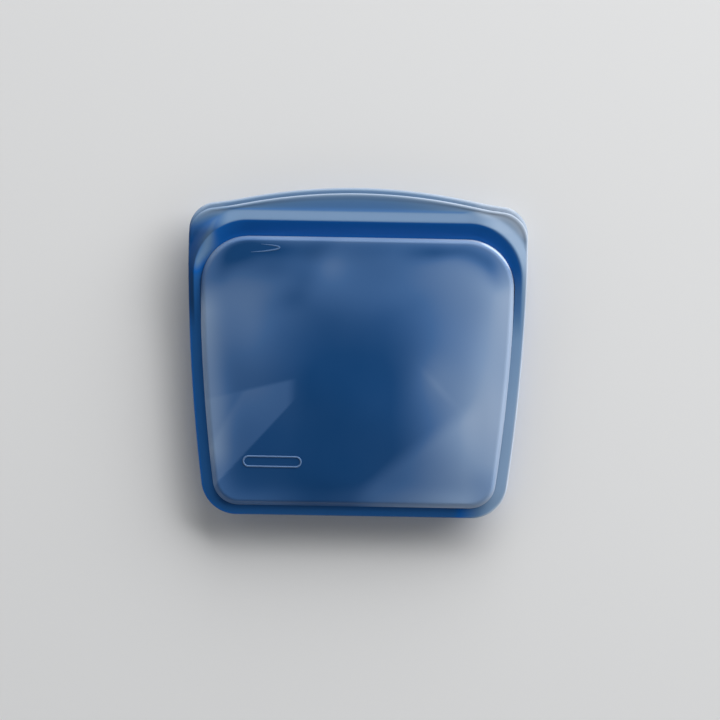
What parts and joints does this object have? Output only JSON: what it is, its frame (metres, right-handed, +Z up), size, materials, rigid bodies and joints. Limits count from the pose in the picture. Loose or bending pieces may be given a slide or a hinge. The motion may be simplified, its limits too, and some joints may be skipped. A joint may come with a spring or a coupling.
{
  "type": "reusable silicone food storage bag",
  "caption": "Flat translucent silicone food bag with a rounded pocket, a press-to-close mouth and two arched pull tabs, lying on its back.",
  "frame": {"origin": "under the middle of the bag, on the surface that it lies on", "axes": "+X across the mouth, +Y from the bottom seam towards the pull tabs, +Z up from the back wall to the front wall"},
  "size_m": [0.19, 0.184, 0.025],
  "materials": {
    "silicone_wall": "thin translucent blue silicone, satin",
    "silicone_rim": "thick deep blue silicone, satin",
    "silicone_seal": "deep blue silicone, satin",
    "silicone_tab": "translucent blue silicone, satin"
  },
  "bodies": {
    "back_half": {"back_panel": "silicone_wall", "back_sidewall": "silicone_wall", "back_rim": "silicone_rim", "back_mouth_band": "silicone_rim", "channel_outer_rail": "silicone_seal", "channel_inner_rail": "silicone_seal", "side_gusset_left": "silicone_wall", "side_gusset_right": "silicone_wall", "bottom_seam": "silicone_rim"},
    "back_lip": {"back_tab": "silicone_tab", "back_tab_bead": "silicone_tab"},
    "front_half": {"front_rim": "silicone_rim", "front_mouth_band": "silicone_rim", "seal_rib": "silicone_seal", "front_sidewall": "silicone_wall"},
    "front_wall": {"front_panel": "silicone_wall", "embossed_mark": "silicone_wall"},
    "front_lip": {"front_tab": "silicone_tab", "front_tab_bead": "silicone_tab"}
  },
  "joints": [
    {"name": "mouth_open", "type": "hinge", "parent": "back_half", "child": "front_half", "pos_m": [0, -0.0901, 0.0125], "axis": [1, 0, 0], "range_deg": [0, 20], "stiffness_Nm_per_rad": 0.02, "deforming": ["side_gusset_left", "side_gusset_right"]},
    {"name": "front_wall_press", "type": "slide", "parent": "front_half", "child": "front_wall", "axis": [0, 0, 1], "range_m": [-0.01, 0], "stiffness_N_per_m": 150, "springref_m": 0.002},
    {"name": "front_tab_fold", "type": "hinge", "parent": "front_half", "child": "front_lip", "pos_m": [0, 0.0789, 0.0136], "axis": [1, 0, 0], "range_deg": [0, 60], "stiffness_Nm_per_rad": 0.01},
    {"name": "back_tab_fold", "type": "hinge", "parent": "back_half", "child": "back_lip", "pos_m": [0, 0.0789, 0.0114], "axis": [-1, 0, 0], "range_deg": [0, 60], "stiffness_Nm_per_rad": 0.01, "springref_deg": -2.86}
  ]
}
